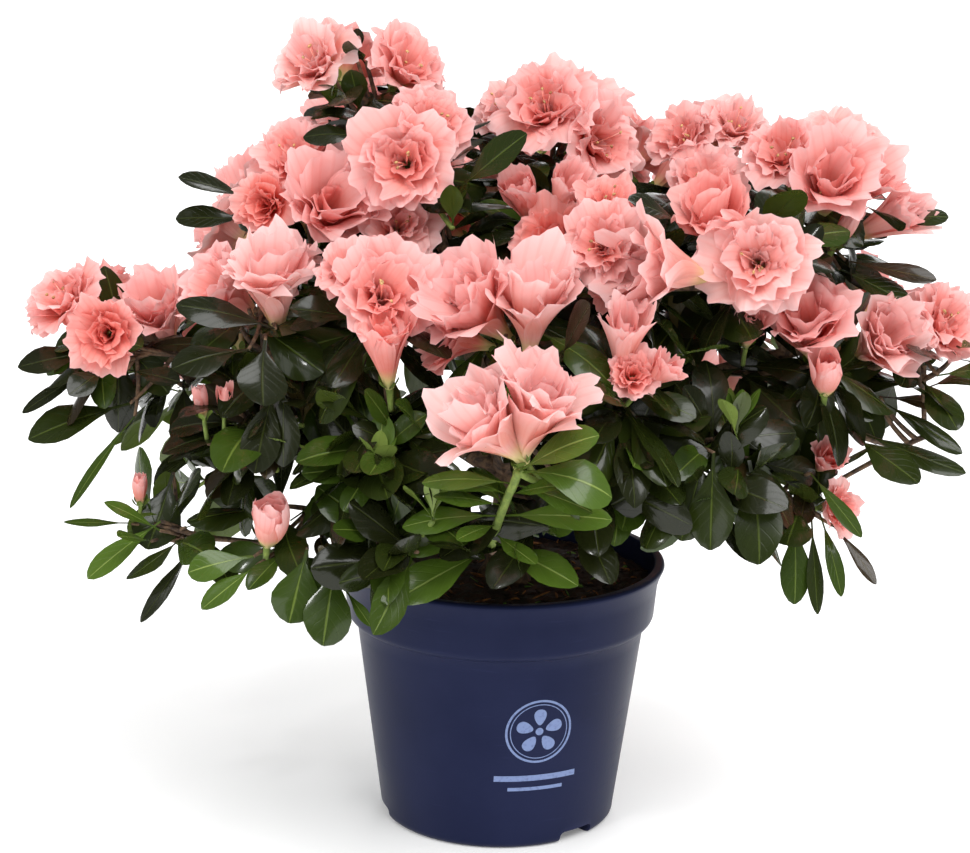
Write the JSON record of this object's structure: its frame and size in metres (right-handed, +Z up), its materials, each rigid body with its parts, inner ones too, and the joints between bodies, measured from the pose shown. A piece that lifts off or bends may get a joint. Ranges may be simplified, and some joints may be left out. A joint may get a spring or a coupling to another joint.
{
  "type": "potted azalea shrub",
  "caption": "Azalea shrub in full double salmon-pink bloom on a short woody stem, planted in a tapered round plastic nursery pot with a collar, rim and drainage notches.",
  "frame": {"origin": "on the pot's axis, at the flat underside of the pot, where it stands", "axes": "+Z up along the pot's axis; front towards -Y, the side that carries the printed emblem and the front shoot; +X to the right seen from the front, along the crown's widest spread"},
  "size_m": [0.4037, 0.3257, 0.3429],
  "materials": {
    "navy_plastic": "satin moulded navy-blue plastic",
    "peat": "moist dark brown peat with woody bits",
    "bark": "fine flaking grey-brown bark",
    "leaf": "glossy dark green leaves",
    "blossom": "thin soft salmon-pink petals among dark leaves"
  },
  "bodies": {
    "root": {"pot": "navy_plastic", "peat": "peat", "stem": "bark", "bough_left": "bark", "bough_right": "bark", "bough_back": "bark", "bough_top": "bark", "bough_front": "bark", "bough_top_right": "bark", "bough_top_left": "bark", "bough_back_left": "bark", "bough_back_right": "bark", "bough_low_left": "bark", "bough_low_right": "bark", "bough_top_middle": "bark", "mass_top_left": "blossom", "mass_top_middle": "blossom", "mass_top_right": "blossom", "mass_top_far_right": "blossom", "mass_upper_left": "blossom", "mass_upper_middle": "blossom", "mass_inner_top": "blossom", "mass_far_left": "blossom", "mass_left_shoulder": "blossom", "mass_front_left": "blossom", "mass_front_middle": "blossom", "mass_front_right": "blossom", "mass_right_shoulder": "blossom", "mass_right_middle": "blossom", "mass_far_right": "blossom", "mass_right_buds": "blossom", "mass_front_shoot": "blossom", "mass_left_middle": "leaf", "mass_front_inner_left": "leaf", "mass_front_inner_right": "leaf", "mass_right_low": "leaf", "mass_low_far_left": "leaf", "mass_low_left": "leaf", "mass_low_front_left": "leaf", "mass_low_front_right": "leaf", "mass_low_right": "leaf", "mass_low_far_right": "leaf", "mass_side_left": "leaf", "mass_side_right": "blossom", "mass_side_low_left": "leaf", "mass_side_low_right": "leaf", "mass_back_top_left": "blossom", "mass_back_top_right": "blossom", "mass_back_left": "blossom", "mass_back_middle": "blossom", "mass_back_right": "blossom", "mass_back_inner_left": "leaf", "mass_back_inner_right": "leaf", "mass_back_low_left": "leaf", "mass_back_low_middle": "leaf", "mass_back_low_right": "leaf"}
  },
  "joints": []
}
